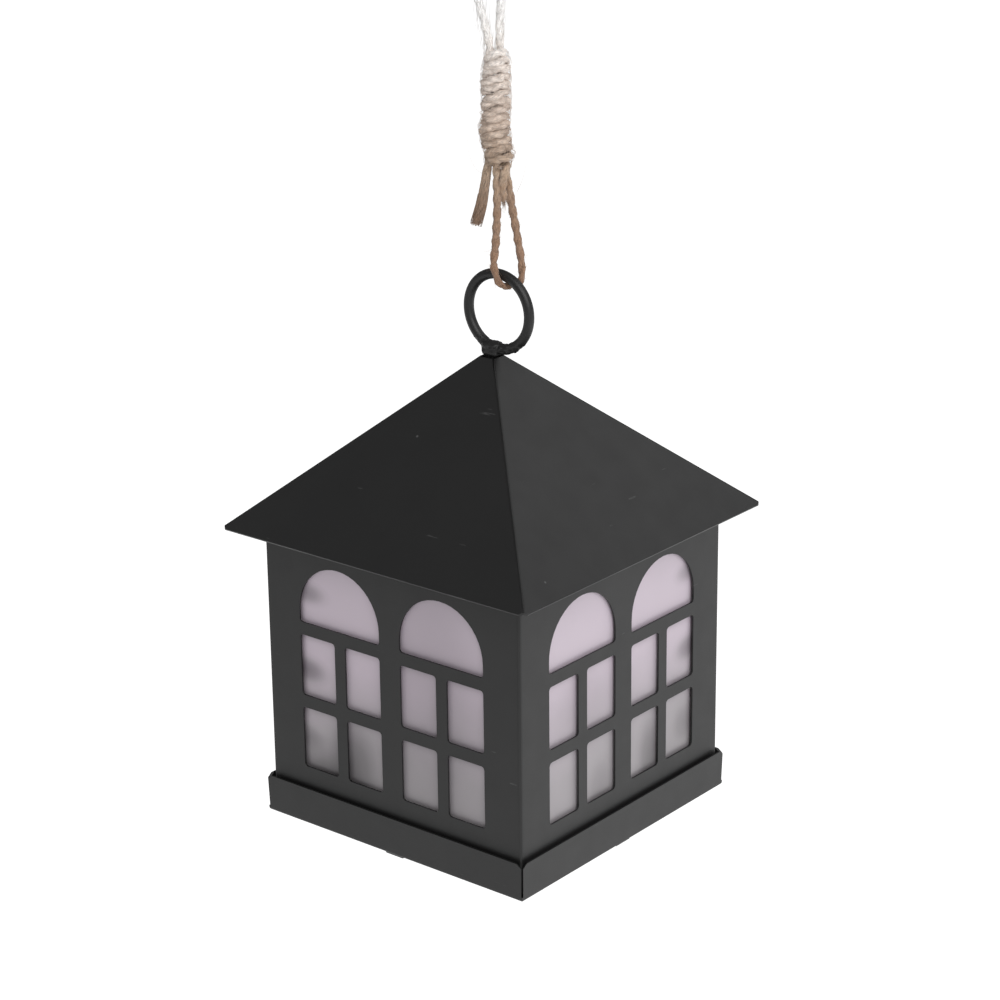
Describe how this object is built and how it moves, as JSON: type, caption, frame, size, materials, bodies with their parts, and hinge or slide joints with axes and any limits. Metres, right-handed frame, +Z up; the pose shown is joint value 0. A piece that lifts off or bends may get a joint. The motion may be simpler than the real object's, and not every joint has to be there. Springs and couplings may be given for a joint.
{
  "type": "solar lantern",
  "caption": "Small hanging solar lantern shaped as a square metal house with arched windows, a frosted liner, a pyramid roof, a top ring and a twine hanger.",
  "frame": {"origin": "centre of the flat underside that the lantern stands on", "axes": "+Z up, -Y towards the front wall (the left one of the two visible walls), +X towards the right visible wall"},
  "size_m": [0.1188, 0.1188, 0.2718],
  "materials": {
    "black_steel": "satin black powder coat",
    "frosted_plastic": "frosted translucent",
    "black_plastic": "fine texture",
    "rubber": "matte",
    "solar_cell": "clear resin over dark cells",
    "circuit_board": "green solder mask",
    "battery_sleeve": "shrink sleeve",
    "bright_metal": "zinc plated",
    "led_epoxy": "clear moulded",
    "red_lead": "satin insulation",
    "black_lead": "satin insulation",
    "jute": "raw two-ply fibre"
  },
  "bodies": {
    "lantern": {"body_shell": "black_steel", "tray": "black_steel", "roof": "black_steel", "hanging_ring": "black_steel", "frosted_liner": "frosted_plastic", "base_plate": "black_plastic", "unit_housing": "black_plastic", "unit_gasket": "rubber", "unit_screw_1": "bright_metal", "unit_screw_2": "bright_metal", "unit_screw_3": "bright_metal", "unit_screw_4": "bright_metal", "battery_cell": "battery_sleeve", "contact_plate_positive": "bright_metal", "contact_plate_negative": "bright_metal", "contact_spring": "bright_metal", "circuit_board": "circuit_board", "controller_chip": "black_plastic", "inductor": "battery_sleeve", "switch_body": "bright_metal", "led_lamp": "led_epoxy", "led_leg_anode": "bright_metal", "led_leg_cathode": "bright_metal", "solar_frame": "black_plastic", "solar_panel": "solar_cell", "lead_grommet": "rubber", "solar_lead_red": "red_lead", "solar_lead_black": "black_lead", "battery_lead_red": "red_lead", "battery_lead_black": "black_lead", "twine_lower_loop": "jute", "twine_tail": "jute", "twine_binding": "jute", "twine_upper_loop": "jute"},
    "battery_cover": {"battery_cover": "black_plastic", "cover_screw": "bright_metal"},
    "switch_slider": {"switch_slider": "black_plastic"}
  },
  "joints": [
    {"name": "battery_cover_hinge", "type": "hinge", "parent": "lantern", "child": "battery_cover", "pos_m": [-0.023, -0.0124, 0.00075], "axis": [0, 1, 0], "range_deg": [0, 95]},
    {"name": "switch_slide", "type": "slide", "parent": "lantern", "child": "switch_slider", "axis": [1, 0, 0], "range_m": [0, 0.0026]}
  ]
}
